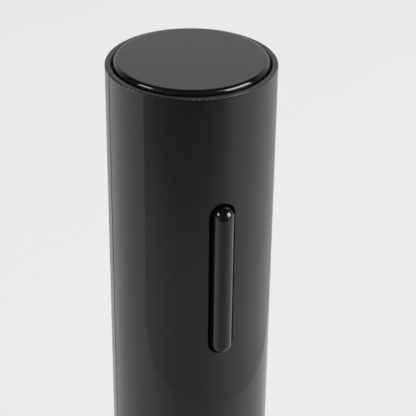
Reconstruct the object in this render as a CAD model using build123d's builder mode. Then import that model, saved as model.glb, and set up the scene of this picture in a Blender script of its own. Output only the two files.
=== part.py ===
from build123d import *
import math
import os

os.makedirs("parts", exist_ok=True)

# Electric wine opener, standing upright on the open end that goes over the bottle.
# Millimetres, +Z up, origin at the centre of the bottom face, the long rocker button faces -Y.

# ---------------------------------------------------------------- driving dimensions
body_r = 23.0               # outer radius of the whole slim body
overall_height = 222.45     # table to the flat of the glossy top disc
disc_proud = 1.15           # how far the disc stands above the rim of the shells
shell_wall = 2.6
seam_gap = 0.24             # line between the front and rear half shells
seam_bevel = 0.20           # softened edges along that line
seam_y = 1.0                # the line is a little behind the middle
lip_t = 1.4                 # inner lip of the front shell, which closes the line from inside
lip_reach = 1.2             # from the line into the rear shell
lip_fit = 0.10
joint_gap = 0.30            # line between the shells and the clear sleeve
slip_fit = 0.20             # radial room between pieces that slide into each other and stay put
run_fit = 0.04              # radial room of a turning shaft in its hole

collar_h = 7.0              # visible black collar of the neck guide
sleeve_h = 70.0             # visible height of the clear sleeve
sleeve_wall = 2.4
spigot_h = 7.0              # depth that the sleeve reaches up into the shells
web_t = 3.0                 # roof of the cork chamber, moulded with the sleeve
rib_t = 1.6                 # ribs that stop the cork turning
cork_r = 13.4               # radius left free for the cork between the ribs
neck_r = 15.8               # bore that slides over a bottle's lip
neck_guide_len = 11.0       # length of the close guiding bore
neck_relief = 0.6           # the bore opens a little above the guiding length
lip_stop_z = 21.0           # height at which the bottle's lip stops
lip_stop_t = 3.0

worm_pitch = 9.0
worm_mean_r = 3.3
worm_wire_r = 1.55
worm_tip_z = 17.0
worm_point = 5.0            # length ground to a point
hub_r = 7.0
hub_h = 11.0
hub_gap = 2.6               # free height between the hub and the gearbox boss

spindle_r = 4.0
bush_wall = 2.0
bush_flange = 1.0
base_t = 4.0                # gearbox base plate
boss_h = 5.0
washer_t = 0.5

gear_module = 0.45
sun_teeth = 12
planet_teeth = 24
ring_teeth = sun_teeth + 2 * planet_teeth
planet_count = 3
pressure_angle = math.radians(25)
addendum = 0.8              # in modules
dedendum = 1.05
backlash = 0.12             # total, along the pitch circle
ring_wall = 1.6
pin_r = 1.0
carrier_t = 2.0
lower_face = 6.5            # face width of the slow, lower stage
upper_face = 5.0
gear_gap = 0.3              # end float above and below each gear
cover_t = 2.5

motor_r = 13.85
motor_len = 38.0
motor_wall = 1.2
motor_boss_r = 5.0
motor_boss_h = 1.5
motor_shaft_r = 1.15
magnet_t = 2.05
air_gap = 0.5
bell_t = 2.6

cell_r = 9.175
cell_len = 50.0
tab_t = 0.3

flat_depth = 1.2            # depth of the long shallow flat on the front
flat_r = 24.93              # radius of that flat, slightly more than the body's
rim_lip = 0.5               # full round lip left above the flat
flat_straight = 70.0        # below the rim, where the flat starts to run out
flat_bend_r = 300.0
flat_bend = 20.0
disc_r = 20.8
disc_round = 1.12
disc_t = 2.6
rim_width = 1.9
rim_round = 0.25            # outer edge of the rim
rim_bevel = 0.45            # inner edge of the rim, round the disc
ledge_depth = 4.2

slot_len = 48.0
slot_w = 7.6
slot_down = 55.75           # rim to the middle of the slot
rocker_len = 46.4
rocker_w = 5.7
rocker_proud = 3.3          # beyond the flat
rocker_swing = 1.5          # degrees each way
pivot_r = 0.75
board_t = 1.2
switch_h = 1.6
plunger_h = 0.4
switch_off = 17.0           # from the pivot to each switch

screw_r = 1.0
head_r = 1.8
head_h = 1.3

# ---------------------------------------------------------------- derived sizes and heights
rim_z = overall_height - disc_proud
sleeve_top_z = collar_h + sleeve_h
shell_z = sleeve_top_z + joint_gap
shell_in_r = body_r - shell_wall
spigot_r = shell_in_r - slip_fit / 2
sleeve_in_r = body_r - sleeve_wall
base_z = sleeve_top_z + spigot_h
gear_z = base_z + base_t

pitch_sun = gear_module * sun_teeth / 2
pitch_planet = gear_module * planet_teeth / 2
pitch_ring = gear_module * ring_teeth / 2
planet_orbit = pitch_sun + pitch_planet
ring_root = pitch_ring + dedendum * gear_module
ring_out_r = ring_root + ring_wall
carrier_r = planet_orbit + 3.0 * pin_r

lower_carrier_z = gear_z + washer_t + 0.1
lower_planet_z = lower_carrier_z + carrier_t + gear_gap
upper_carrier_z = lower_planet_z + lower_face + gear_gap + 0.4
upper_planet_z = upper_carrier_z + carrier_t + gear_gap
cover_z = upper_planet_z + upper_face + 1.4
motor_z = cover_z + cover_t
gear_screw_z = base_z + 1.0
motor_top_z = motor_z + motor_len
cell_z = motor_top_z + 6.2
cell_y = shell_in_r - cell_r - 3.2
ledge_z = rim_z - ledge_depth
ledge_r = body_r - rim_width

boss_r = 2.8
boss_orbit = shell_in_r - boss_r + 0.4
low_boss_h = 9.0            # bosses on the gearbox base
cap_boss_h = 11.0           # bosses under the cap plate
low_rib_up, high_rib_up = 6.0, 20.0        # ribs round the motor, above its mounting plate
boss_angles = [-50, 50, 130, 230]          # from the front, where the shell screws stand
ear_off = 1.3               # ear centres beyond the ring gear
ear_orbit = ring_out_r + ear_off
ear_r = 2.2
sleeve_screw_orbit = 12.0

slot_z = rim_z - slot_down
flat_y = body_r - flat_depth
rocker_r = rocker_w / 2
rocker_front = flat_y + rocker_proud
flange_w = slot_w + 2.0
flange_len = slot_len + 2.0
flange_t = 1.0
press_travel = math.radians(rocker_swing) * flange_len / 2
flange_y = math.sqrt(shell_in_r ** 2 - (flange_w / 2) ** 2) - press_travel - 0.28
pivot_y = flange_y - 1.1
board_y = flange_y - 3.7 - board_t
switch_top_y = board_y + board_t + switch_h + plunger_h
rib_y = switch_top_y + math.radians(rocker_swing) * switch_off + 0.05


def finish(piece, name):
    """Label a finished piece and write it to its own file."""
    piece.part.label = name
    export_step(piece.part, f"parts/{name}.step")


def spot(radius, degrees):
    """A place on a circle, with the angle counted from the front (-Y) towards +X."""
    turn = math.radians(degrees)
    return (radius * math.sin(turn), -radius * math.cos(turn))


def involute(angle):
    return math.tan(angle) - angle


def gear_outline(teeth, outside, inside, half_tooth):
    """Closed outline of an involute gear, one tooth centred on +X."""
    pitch = gear_module * teeth / 2
    base = pitch * math.cos(pressure_angle)
    start = max(inside, base)

    def half_angle(radius):
        return half_tooth + involute(pressure_angle) - involute(math.acos(base / radius))

    def at(radius, angle):
        return (radius * math.cos(angle), radius * math.sin(angle))

    step = 2 * math.pi / teeth
    middle = (start + outside) / 2
    with BuildSketch() as outline:
        with BuildLine():
            for tooth in range(teeth):
                centre = tooth * step
                low, mid, top = half_angle(start), half_angle(middle), half_angle(outside)
                if inside < start:
                    Line(at(inside, centre - low), at(start, centre - low))
                ThreePointArc(at(start, centre - low), at(middle, centre - mid), at(outside, centre - top))
                ThreePointArc(at(outside, centre - top), at(outside, centre), at(outside, centre + top))
                ThreePointArc(at(outside, centre + top), at(middle, centre + mid), at(start, centre + low))
                if inside < start:
                    Line(at(start, centre + low), at(inside, centre + low))
                root_end = centre + step - low
                ThreePointArc(at(inside, centre + low), at(inside, centre + step / 2), at(inside, root_end))
        make_face()
    return outline.sketch


def outer_gear(teeth):
    """Outline of a gear with teeth outwards, thinned by its share of the backlash."""
    pitch = gear_module * teeth / 2
    half_tooth = math.pi / (2 * teeth) - backlash / 4 / pitch
    return gear_outline(teeth, pitch + addendum * gear_module, pitch - dedendum * gear_module, half_tooth)


def inner_gear(teeth):
    """Outline of the hole of a ring gear: its gaps have the shape of widened teeth."""
    pitch = gear_module * teeth / 2
    half_gap = math.pi / (2 * teeth) + backlash / 4 / pitch
    return gear_outline(teeth, pitch + dedendum * gear_module, pitch - addendum * gear_module, half_gap)


def screws(places, head_z, shank_end_z):
    """A set of pan-head screws along Z; the shank runs from the head's flat to shank_end_z."""
    up = 1 if shank_end_z > head_z else -1
    with BuildPart() as group:
        for place in places:
            with BuildSketch(Plane.XY.offset(head_z)):
                with Locations(place):
                    Circle(head_r)
            extrude(amount=-up * head_h)
            with BuildSketch(Plane.XY.offset(head_z)):
                with Locations(place):
                    Circle(screw_r)
            extrude(amount=shank_end_z - head_z)
            with BuildSketch(Plane.XY.offset(head_z - up * head_h)):
                with Locations(place):
                    Rectangle(2.0, 0.45)
                    Rectangle(0.45, 2.0)
            extrude(amount=up * 0.6, mode=Mode.SUBTRACT)
    return group


# ---------------------------------------------------------------- neck guide, collar at the open end
with BuildPart() as neck_guide:
    with BuildSketch():
        Circle(body_r)
    extrude(amount=collar_h)
    with BuildSketch(Plane.XY.offset(collar_h)):
        Circle(sleeve_in_r - slip_fit / 2)
    extrude(amount=lip_stop_z + lip_stop_t - collar_h)
    with BuildSketch():
        Circle(neck_r)
    extrude(amount=neck_guide_len, mode=Mode.SUBTRACT)
    with BuildSketch(Plane.XY.offset(neck_guide_len)):
        Circle(neck_r + neck_relief)
    extrude(amount=lip_stop_z - neck_guide_len, mode=Mode.SUBTRACT)
    with BuildSketch(Plane.XY.offset(lip_stop_z)):
        Circle(cork_r)
    extrude(amount=lip_stop_t, mode=Mode.SUBTRACT)
    foot_edges = neck_guide.edges().filter_by(GeomType.CIRCLE).group_by(Axis.Z)[0]
    fillet(foot_edges.sort_by(SortBy.RADIUS)[-1], radius=1.2)
    chamfer(neck_guide.edges().filter_by(GeomType.CIRCLE).group_by(Axis.Z)[0].sort_by(SortBy.RADIUS)[0], length=1.4)
finish(neck_guide, "neck_guide")

# ---------------------------------------------------------------- clear sleeve round the cork chamber
rib_z = lip_stop_z + lip_stop_t + 0.3
web_z = base_z - web_t
boss_out_r = spindle_r + run_fit + bush_wall + 2.4
sleeve_spots = [spot(sleeve_screw_orbit, angle) for angle in (60, 180, 300)]
with BuildPart() as clear_sleeve:
    with BuildSketch(Plane.XY.offset(collar_h)):
        Circle(body_r)
    extrude(amount=sleeve_h)
    with BuildSketch(Plane.XY.offset(sleeve_top_z)):
        Circle(spigot_r)
    extrude(amount=spigot_h)
    with BuildSketch(Plane.XY.offset(collar_h)):
        Circle(sleeve_in_r)
    extrude(amount=sleeve_h - 2.0, mode=Mode.SUBTRACT)
    with BuildSketch(Plane.XY.offset(sleeve_top_z - 2.0)):
        Circle(spigot_r - sleeve_wall)
    extrude(amount=web_z - sleeve_top_z + 2.0, mode=Mode.SUBTRACT)
    with BuildSketch(Plane.XY.offset(rib_z)):
        with PolarLocations(0, 4, start_angle=45):
            with Locations(((cork_r + sleeve_in_r + 0.5) / 2, 0)):
                Rectangle(sleeve_in_r + 0.5 - cork_r, rib_t)
    extrude(amount=sleeve_top_z - 2.0 - rib_z)
    with BuildSketch(Plane.XY.offset(web_z)):
        Circle(boss_out_r + slip_fit)
        with Locations(*sleeve_spots):
            Circle(screw_r + slip_fit)
    extrude(amount=web_t, mode=Mode.SUBTRACT)
    with BuildSketch(Plane.XY.offset(web_z)):
        with Locations(*sleeve_spots):
            Circle(head_r + slip_fit)
    extrude(amount=head_h + slip_fit, mode=Mode.SUBTRACT)
finish(clear_sleeve, "clear_sleeve")

sleeve_screws = screws(sleeve_spots, web_z + head_h + slip_fit, base_z + base_t - 1.0)
finish(sleeve_screws, "sleeve_screws")

# ---------------------------------------------------------------- gearbox base with its output bush
boss_spots = [spot(boss_orbit, angle) for angle in boss_angles]
ear_spots = [spot(ear_orbit, angle) for angle in (0, 90, 180, 270)]
shell_head_z = base_z + head_h + 0.2
bush_out_r = spindle_r + run_fit + bush_wall
with BuildPart() as gearbox_base:
    with BuildSketch(Plane.XY.offset(base_z)):
        Circle(spigot_r)
    extrude(amount=base_t)
    with BuildSketch(Plane.XY.offset(base_z - boss_h)):
        Circle(boss_out_r)
    extrude(amount=boss_h)
    with BuildSketch(Plane.XY.offset(base_z - boss_h)):
        Circle(bush_out_r)
    extrude(amount=boss_h + base_t, mode=Mode.SUBTRACT)
    with BuildSketch(Plane.XY.offset(base_z)):
        with Locations(*boss_spots):
            Circle(screw_r + slip_fit)
        with Locations(*sleeve_spots):
            Circle(screw_r)
    extrude(amount=base_t - 1.0, mode=Mode.SUBTRACT)
    with BuildSketch(Plane.XY.offset(base_z)):
        with Locations(*boss_spots):
            Circle(screw_r + slip_fit)
    extrude(amount=base_t, mode=Mode.SUBTRACT)
    with BuildSketch(Plane.XY.offset(base_z)):
        with Locations(*boss_spots):
            Circle(head_r + 0.1)
    extrude(amount=shell_head_z - base_z, mode=Mode.SUBTRACT)
    with BuildSketch(Plane.XY.offset(base_z + 1.0)):
        with Locations(*ear_spots):
            Circle(screw_r)
    extrude(amount=base_t - 1.0, mode=Mode.SUBTRACT)
finish(gearbox_base, "gearbox_base")

with BuildPart() as output_bush:
    with BuildSketch(Plane.XY.offset(base_z - boss_h)):
        Circle(bush_out_r)
    extrude(amount=boss_h + base_t)
    with BuildSketch(Plane.XY.offset(base_z - boss_h - bush_flange)):
        Circle(bush_out_r + 1.4)
    extrude(amount=bush_flange)
    with BuildSketch(Plane.XY.offset(base_z - boss_h - bush_flange)):
        Circle(spindle_r + run_fit)
    extrude(amount=boss_h + base_t + bush_flange, mode=Mode.SUBTRACT)
finish(output_bush, "output_bush")

with BuildPart() as thrust_washer:
    with BuildSketch(Plane.XY.offset(gear_z)):
        Circle(bush_out_r + 2.5)
        Circle(spindle_r + 2 * run_fit, mode=Mode.SUBTRACT)
    extrude(amount=washer_t)
finish(thrust_washer, "thrust_washer")

# ---------------------------------------------------------------- ring gear housing and motor plate
with BuildPart() as ring_gear:
    with BuildSketch(Plane.XY.offset(gear_z)):
        Circle(ring_out_r)
        with Locations(*ear_spots):
            Circle(ear_r)
        add(inner_gear(ring_teeth).rotate(Axis.Z, 180 / ring_teeth), mode=Mode.SUBTRACT)
        with Locations(*ear_spots):
            Circle(screw_r + 0.1, mode=Mode.SUBTRACT)
        with Locations(*boss_spots):
            Circle(screw_r + slip_fit, mode=Mode.SUBTRACT)
    extrude(amount=cover_z - gear_z)
finish(ring_gear, "ring_gear")

motor_screw_spots = [(-8.0, 0.0), (8.0, 0.0)]
with BuildPart() as motor_plate:
    with BuildSketch(Plane.XY.offset(cover_z)):
        Circle(ring_out_r)
        with Locations(*ear_spots):
            Circle(ear_r)
            Circle(screw_r + 0.1, mode=Mode.SUBTRACT)
        Circle(motor_boss_r + slip_fit / 2, mode=Mode.SUBTRACT)
        with Locations(*motor_screw_spots):
            Circle(screw_r + 0.1, mode=Mode.SUBTRACT)
    extrude(amount=cover_t)
    with BuildSketch(Plane.XY.offset(cover_z)):
        with Locations(*motor_screw_spots):
            Circle(head_r + 0.1)
    extrude(amount=head_h + 0.1, mode=Mode.SUBTRACT)
finish(motor_plate, "motor_plate")

motor_screws = screws(motor_screw_spots, cover_z + head_h + 0.1, motor_z + 2.5)
finish(motor_screws, "motor_screws")
gearbox_screws = screws(ear_spots, motor_z, gear_screw_z)
finish(gearbox_screws, "gearbox_screws")
shell_screws = screws(boss_spots, shell_head_z, gear_z + 6.0)
finish(shell_screws, "shell_screws")

# ---------------------------------------------------------------- the two planet stages
planet_angles = [90 + 360 / planet_count * k for k in range(planet_count)]


def planet(name, z, face, angle):
    """One planet gear; its teeth are set half a pitch off, so that a gap faces the sun's tooth."""
    place = Vector(planet_orbit, 0).rotate(Axis.Z, angle)
    with BuildPart() as gear:
        with BuildSketch(Plane.XY.offset(z)):
            with Locations(Location((place.X, place.Y, 0), (0, 0, angle + 180 / planet_teeth))):
                add(outer_gear(planet_teeth))
            with Locations((place.X, place.Y)):
                Circle(pin_r + run_fit, mode=Mode.SUBTRACT)
        extrude(amount=face)
    finish(gear, name)


for letter, angle in zip("abc", planet_angles):
    planet(f"lower_planet_{letter}", lower_planet_z, lower_face, angle)
    planet(f"upper_planet_{letter}", upper_planet_z, upper_face, angle)


def planet_pins(name, z, length):
    """The steel pins of one carrier, standing in its plate and through its planets."""
    with BuildPart() as pins:
        with BuildSketch(Plane.XY.offset(z)):
            with PolarLocations(planet_orbit, planet_count, start_angle=planet_angles[0]):
                Circle(pin_r)
        extrude(amount=length)
    finish(pins, name)


planet_pins("lower_planet_pins", lower_carrier_z, carrier_t + gear_gap + lower_face + 0.2)
planet_pins("upper_planet_pins", upper_carrier_z, carrier_t + gear_gap + upper_face + 0.2)

with BuildPart() as lower_carrier:
    with BuildSketch(Plane.XY.offset(lower_carrier_z)):
        Circle(carrier_r)
        Circle(spindle_r, mode=Mode.SUBTRACT)
        with PolarLocations(planet_orbit, planet_count, start_angle=planet_angles[0]):
            Circle(pin_r, mode=Mode.SUBTRACT)
    extrude(amount=carrier_t)
finish(lower_carrier, "lower_carrier")

lower_sun_z = lower_planet_z + 0.2
with BuildPart() as upper_carrier:
    with BuildSketch(Plane.XY.offset(upper_carrier_z)):
        Circle(carrier_r)
        with PolarLocations(planet_orbit, planet_count, start_angle=planet_angles[0]):
            Circle(pin_r, mode=Mode.SUBTRACT)
    extrude(amount=carrier_t)
    with BuildSketch(Plane.XY.offset(lower_sun_z)):
        add(outer_gear(sun_teeth))
    extrude(amount=upper_carrier_z - lower_sun_z)
finish(upper_carrier, "upper_carrier")

sun_z = upper_planet_z - 0.1
with BuildPart() as motor_pinion:
    with BuildSketch(Plane.XY.offset(sun_z)):
        add(outer_gear(sun_teeth))
        Circle(motor_shaft_r, mode=Mode.SUBTRACT)
    extrude(amount=upper_face + 0.6)
finish(motor_pinion, "motor_pinion")

# ---------------------------------------------------------------- output spindle, hub and corkscrew worm
hub_top_z = base_z - boss_h - bush_flange - hub_gap
hub_z = hub_top_z - hub_h
spindle_z = hub_z + 3.0
clip_z = base_z - boss_h - bush_flange - 1.1
clip_t = 0.7
with BuildPart() as output_spindle:
    with BuildSketch(Plane.XY.offset(spindle_z)):
        Circle(spindle_r)
    extrude(amount=lower_carrier_z + carrier_t - spindle_z)
    with BuildSketch(Plane.XY.offset(clip_z)):
        Circle(spindle_r)
        Circle(spindle_r - 0.7, mode=Mode.SUBTRACT)
    extrude(amount=clip_t, mode=Mode.SUBTRACT)
    with BuildSketch(Plane.YZ.offset(-hub_r)):
        with Locations((0, hub_z + hub_h * 0.6)):
            Circle(pin_r)
    extrude(amount=2 * hub_r, mode=Mode.SUBTRACT)
finish(output_spindle, "output_spindle")

with BuildPart() as spindle_clip:
    with BuildSketch(Plane.XY.offset(clip_z)):
        Circle(spindle_r + 2.0)
        Circle(spindle_r - 0.7, mode=Mode.SUBTRACT)
        with Locations((0, -spindle_r - 1.0)):
            Rectangle(2 * (spindle_r - 1.6), 2 * spindle_r, mode=Mode.SUBTRACT)
    extrude(amount=clip_t)
finish(spindle_clip, "spindle_clip")

with BuildPart() as worm_hub:
    with BuildSketch(Plane.XY.offset(hub_z)):
        Circle(hub_r)
    extrude(amount=hub_h)
    chamfer(worm_hub.edges().filter_by(GeomType.CIRCLE).group_by(Axis.Z)[0], length=1.5)
    with BuildSketch(Plane.XY.offset(spindle_z)):
        Circle(spindle_r)
    extrude(amount=hub_top_z - spindle_z, mode=Mode.SUBTRACT)
    with BuildSketch(Plane.YZ.offset(-hub_r)):
        with Locations((0, hub_z + hub_h * 0.6)):
            Circle(pin_r)
    extrude(amount=2 * hub_r, mode=Mode.SUBTRACT)
finish(worm_hub, "worm_hub")

with BuildPart() as hub_pin:
    with BuildSketch(Plane.YZ.offset(-hub_r + 0.4)):
        with Locations((0, hub_z + hub_h * 0.6)):
            Circle(pin_r)
    extrude(amount=2 * hub_r - 0.8)
finish(hub_pin, "hub_pin")

with BuildPart() as corkscrew:
    with BuildLine() as coil:
        Helix(pitch=worm_pitch, height=hub_z + 2.0 - worm_tip_z, radius=worm_mean_r, center=(0, 0, worm_tip_z))
    with BuildSketch(Plane(origin=coil.line @ 0, z_dir=coil.line % 0)):
        Circle(worm_wire_r)
    sweep(is_frenet=True)
    point_plane = Plane(origin=coil.line @ 0, z_dir=-(coil.line % 0))
    with Locations(point_plane.location):
        Cone(worm_wire_r, 0.15, worm_point, align=(Align.CENTER, Align.CENTER, Align.MIN))
finish(corkscrew, "corkscrew")

# ---------------------------------------------------------------- motor
with BuildPart() as motor_can:
    with BuildSketch(Plane.XY.offset(motor_z)):
        Circle(motor_r)
    extrude(amount=motor_len - bell_t)
    with BuildSketch(Plane.XY.offset(motor_z - motor_boss_h)):
        Circle(motor_boss_r)
    extrude(amount=motor_boss_h)
    with BuildSketch(Plane.XY.offset(motor_z + motor_wall)):
        Circle(motor_r - motor_wall)
    extrude(amount=motor_len, mode=Mode.SUBTRACT)
    with BuildSketch(Plane.XY.offset(motor_z - motor_boss_h)):
        Circle(3.0)
        with Locations(*motor_screw_spots):
            Circle(screw_r)
    extrude(amount=motor_boss_h + motor_wall, mode=Mode.SUBTRACT)
    fillet(motor_can.edges().filter_by(GeomType.CIRCLE).group_by(Axis.Z)[2].sort_by(SortBy.RADIUS)[-1], radius=0.8)
finish(motor_can, "motor_can")

with BuildPart() as motor_bush:
    with BuildSketch(Plane.XY.offset(motor_z - motor_boss_h)):
        Circle(3.0)
        Circle(motor_shaft_r + run_fit, mode=Mode.SUBTRACT)
    extrude(amount=motor_boss_h + motor_wall)
finish(motor_bush, "motor_bush")

magnet_r = motor_r - motor_wall
core_r = magnet_r - magnet_t - air_gap
core_z = motor_z + 6.5
core_len = motor_len - 15.5
with BuildPart() as motor_magnets:
    with BuildSketch(Plane.XY.offset(core_z - 1.5)):
        Circle(magnet_r)
        Circle(magnet_r - magnet_t, mode=Mode.SUBTRACT)
        Rectangle(8.0, 3 * magnet_r, mode=Mode.SUBTRACT)
    extrude(amount=core_len + 3.0)
finish(motor_magnets, "motor_magnets")

pole_count = 5
pole_w = 2.6
with BuildPart() as armature_core:
    with BuildSketch(Plane.XY.offset(core_z)):
        Circle(core_r)
        Circle(core_r - 1.6, mode=Mode.SUBTRACT)
        with PolarLocations(core_r, pole_count, start_angle=36):
            Rectangle(6.0, 1.8, mode=Mode.SUBTRACT)
        with PolarLocations(core_r / 2, pole_count):
            Rectangle(core_r - 1.0, pole_w)
        Circle(4.2)
        Circle(motor_shaft_r, mode=Mode.SUBTRACT)
    extrude(amount=core_len)
finish(armature_core, "armature_core")

winding_w = 5.8
winding_in = 4.6
winding_out = math.sqrt((core_r - 1.8) ** 2 - (winding_w / 2) ** 2)
with BuildPart() as armature_windings:
    with PolarLocations(0, pole_count):
        with Locations(((winding_in + winding_out) / 2, 0, core_z + core_len / 2)):
            Box(winding_out - winding_in, winding_w, core_len + 5.0)
    with PolarLocations(0, pole_count):
        with Locations((core_r / 2, 0, core_z + core_len / 2)):
            Box(core_r, pole_w, core_len, mode=Mode.SUBTRACT)
    with Locations((0, 0, core_z + core_len / 2)):
        Cylinder(4.3, core_len + 6, mode=Mode.SUBTRACT)
finish(armature_windings, "armature_windings")

commutator_z = core_z + core_len + 2.8
commutator_r = 3.4
with BuildPart() as commutator:
    with BuildSketch(Plane.XY.offset(commutator_z)):
        Circle(commutator_r)
        Circle(motor_shaft_r, mode=Mode.SUBTRACT)
        with PolarLocations(commutator_r, pole_count):
            Rectangle(1.0, 0.3, mode=Mode.SUBTRACT)
    extrude(amount=motor_top_z - bell_t - 0.4 - commutator_z)
finish(commutator, "commutator")

with BuildPart() as motor_shaft:
    with BuildSketch(Plane.XY.offset(sun_z)):
        Circle(motor_shaft_r)
    extrude(amount=motor_top_z - 0.6 - sun_z)
finish(motor_shaft, "motor_shaft")

terminal_x = 8.0
terminal_up = 3.0            # leads are soldered this far above the motor
terminal_spots = [(-terminal_x, 0.0), (terminal_x, 0.0)]
with BuildPart() as motor_end_bell:
    with BuildSketch(Plane.XY.offset(motor_top_z - bell_t)):
        Circle(motor_r)
    extrude(amount=bell_t)
    with BuildSketch(Plane.XY.offset(motor_top_z - bell_t)):
        Circle(motor_shaft_r + run_fit)
    extrude(amount=bell_t - 0.5, mode=Mode.SUBTRACT)
    with BuildSketch(Plane.XY.offset(motor_top_z - bell_t)):
        with Locations(*terminal_spots):
            Rectangle(0.5, 3.0)
    extrude(amount=bell_t, mode=Mode.SUBTRACT)
    fillet(motor_end_bell.edges().filter_by(GeomType.CIRCLE).group_by(Axis.Z)[-1], radius=0.6)
finish(motor_end_bell, "motor_end_bell")

with BuildPart() as motor_terminals:
    with BuildSketch(Plane.XY.offset(motor_top_z - bell_t - 1.0)):
        with Locations(*terminal_spots):
            Rectangle(0.5, 3.0)
    extrude(amount=bell_t + 4.0)
finish(motor_terminals, "motor_terminals")

brush_len = 3.4
with BuildPart() as motor_brushes:
    with Locations(*[(side * (commutator_r + 0.1 + brush_len / 2), 0, motor_top_z - bell_t - 2.1) for side in (-1, 1)]):
        Box(brush_len, 2.2, 2.2)
finish(motor_brushes, "motor_brushes")

# ---------------------------------------------------------------- front and rear half shells

def shell_tube():
    """The full round upper casing with its ledge for the cap, ribs and screw bosses, before it is split."""
    with BuildPart() as tube:
        with BuildSketch(Plane.XY.offset(shell_z)):
            Circle(body_r)
        extrude(amount=rim_z - shell_z)
        top_edge = tube.edges().filter_by(GeomType.CIRCLE).sort_by(Axis.Z)[-1]
        fillet(top_edge, radius=rim_round)
        with BuildSketch(Plane.XY.offset(shell_z)):
            Circle(shell_in_r)
        extrude(amount=ledge_z - shell_z, mode=Mode.SUBTRACT)
        with BuildSketch(Plane.XY.offset(ledge_z)):
            Circle(ledge_r)
        extrude(amount=ledge_depth, mode=Mode.SUBTRACT)
        rim_edges = tube.edges().filter_by(GeomType.CIRCLE).group_by(Axis.Z)[-1]
        chamfer(rim_edges.sort_by(SortBy.RADIUS)[0], length=rim_bevel)
        for low, high in ((gear_z, gear_z + low_boss_h), (ledge_z - cap_boss_h, ledge_z)):
            with BuildSketch(Plane.XY.offset(low)):
                with Locations(*boss_spots):
                    Circle(boss_r)
                Circle(ring_out_r + slip_fit, mode=Mode.SUBTRACT)
                with Locations(*boss_spots):
                    Circle(screw_r, mode=Mode.SUBTRACT)
            extrude(amount=high - low)
        for rib in (motor_z + low_rib_up, motor_z + high_rib_up):
            with BuildSketch(Plane.XY.offset(rib)):
                Circle(shell_in_r + 0.2)
                Circle(motor_r + slip_fit, mode=Mode.SUBTRACT)
            extrude(amount=rib_t)
        with BuildSketch(Plane.XY.offset(gear_z)):
            with Locations(*ear_spots):
                Circle(ear_r + slip_fit)
        extrude(amount=motor_z + head_h + slip_fit - gear_z, mode=Mode.SUBTRACT)
        with BuildSketch(Plane.XY.offset(gear_z)):
            with Locations(*ear_spots):
                Circle(screw_r + slip_fit)
        extrude(amount=gear_screw_z - gear_z, mode=Mode.SUBTRACT)
        groove = seam_gap / 2 + seam_bevel
        with BuildSketch(Plane.XY.offset(shell_z)):
            with Locations((-body_r, seam_y), (body_r, seam_y)):
                Rectangle(groove * math.sqrt(2), groove * math.sqrt(2), rotation=45)
        extrude(amount=rim_z - shell_z, mode=Mode.SUBTRACT)
    return tube.part


whole = shell_tube()
reach = 3 * body_r
tall = 2 * overall_height

with BuildPart() as flat_cutter:
    with BuildSketch(Plane.XY.offset(rim_z - rim_lip)):
        with Locations((0, -body_r)):
            Rectangle(reach, 2 * body_r)
    extrude(amount=-(flat_straight + flat_bend + 40))
    lean = flat_bend / flat_bend_r
    bend_z = rim_z - flat_straight
    bend_end = (flat_bend_r * (1 - math.cos(lean)), bend_z - flat_bend_r * math.sin(lean))
    centre_y = flat_r - flat_y
    with BuildLine() as run:
        Line((0, centre_y, rim_z + 5), (0, centre_y, bend_z))
        ThreePointArc(
            (0, centre_y, bend_z),
            (0, centre_y - flat_bend_r * (1 - math.cos(lean / 2)), bend_z - flat_bend_r * math.sin(lean / 2)),
            (0, centre_y - bend_end[0], bend_end[1]),
        )
        run_out = 60.0
        Line(
            (0, centre_y - bend_end[0], bend_end[1]),
            (0, centre_y - bend_end[0] - run_out * math.sin(lean), bend_end[1] - run_out * math.cos(lean)),
        )
    with BuildSketch(Plane.XY.offset(rim_z + 5)):
        with Locations((0, centre_y)):
            Circle(flat_r)
    sweep(path=run.line, mode=Mode.SUBTRACT)

lip_top_z = ledge_z - lip_fit
with BuildPart() as front_shell:
    add(whole)
    with BuildSketch(Plane.XY):
        with Locations((0, seam_y - seam_gap / 2 + reach / 2)):
            Rectangle(reach, reach)
        Circle(shell_in_r + lip_t, mode=Mode.SUBTRACT)
    extrude(amount=lip_top_z, mode=Mode.SUBTRACT)
    with BuildSketch(Plane.XY.offset(lip_top_z)):
        with Locations((0, seam_y - seam_gap / 2 + reach / 2)):
            Rectangle(reach, reach)
    extrude(amount=tall, mode=Mode.SUBTRACT)
    with Locations((0, seam_y + lip_reach + reach / 2, 0)):
        Box(reach, reach, tall, mode=Mode.SUBTRACT)
    add(flat_cutter.part, mode=Mode.SUBTRACT)
    with BuildSketch(Plane.XZ.offset(board_y + board_t + 0.3)):
        with Locations((0, slot_z)):
            SlotOverall(slot_len, slot_w, rotation=90)
    extrude(amount=body_r, mode=Mode.SUBTRACT)
finish(front_shell, "front_shell")

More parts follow.
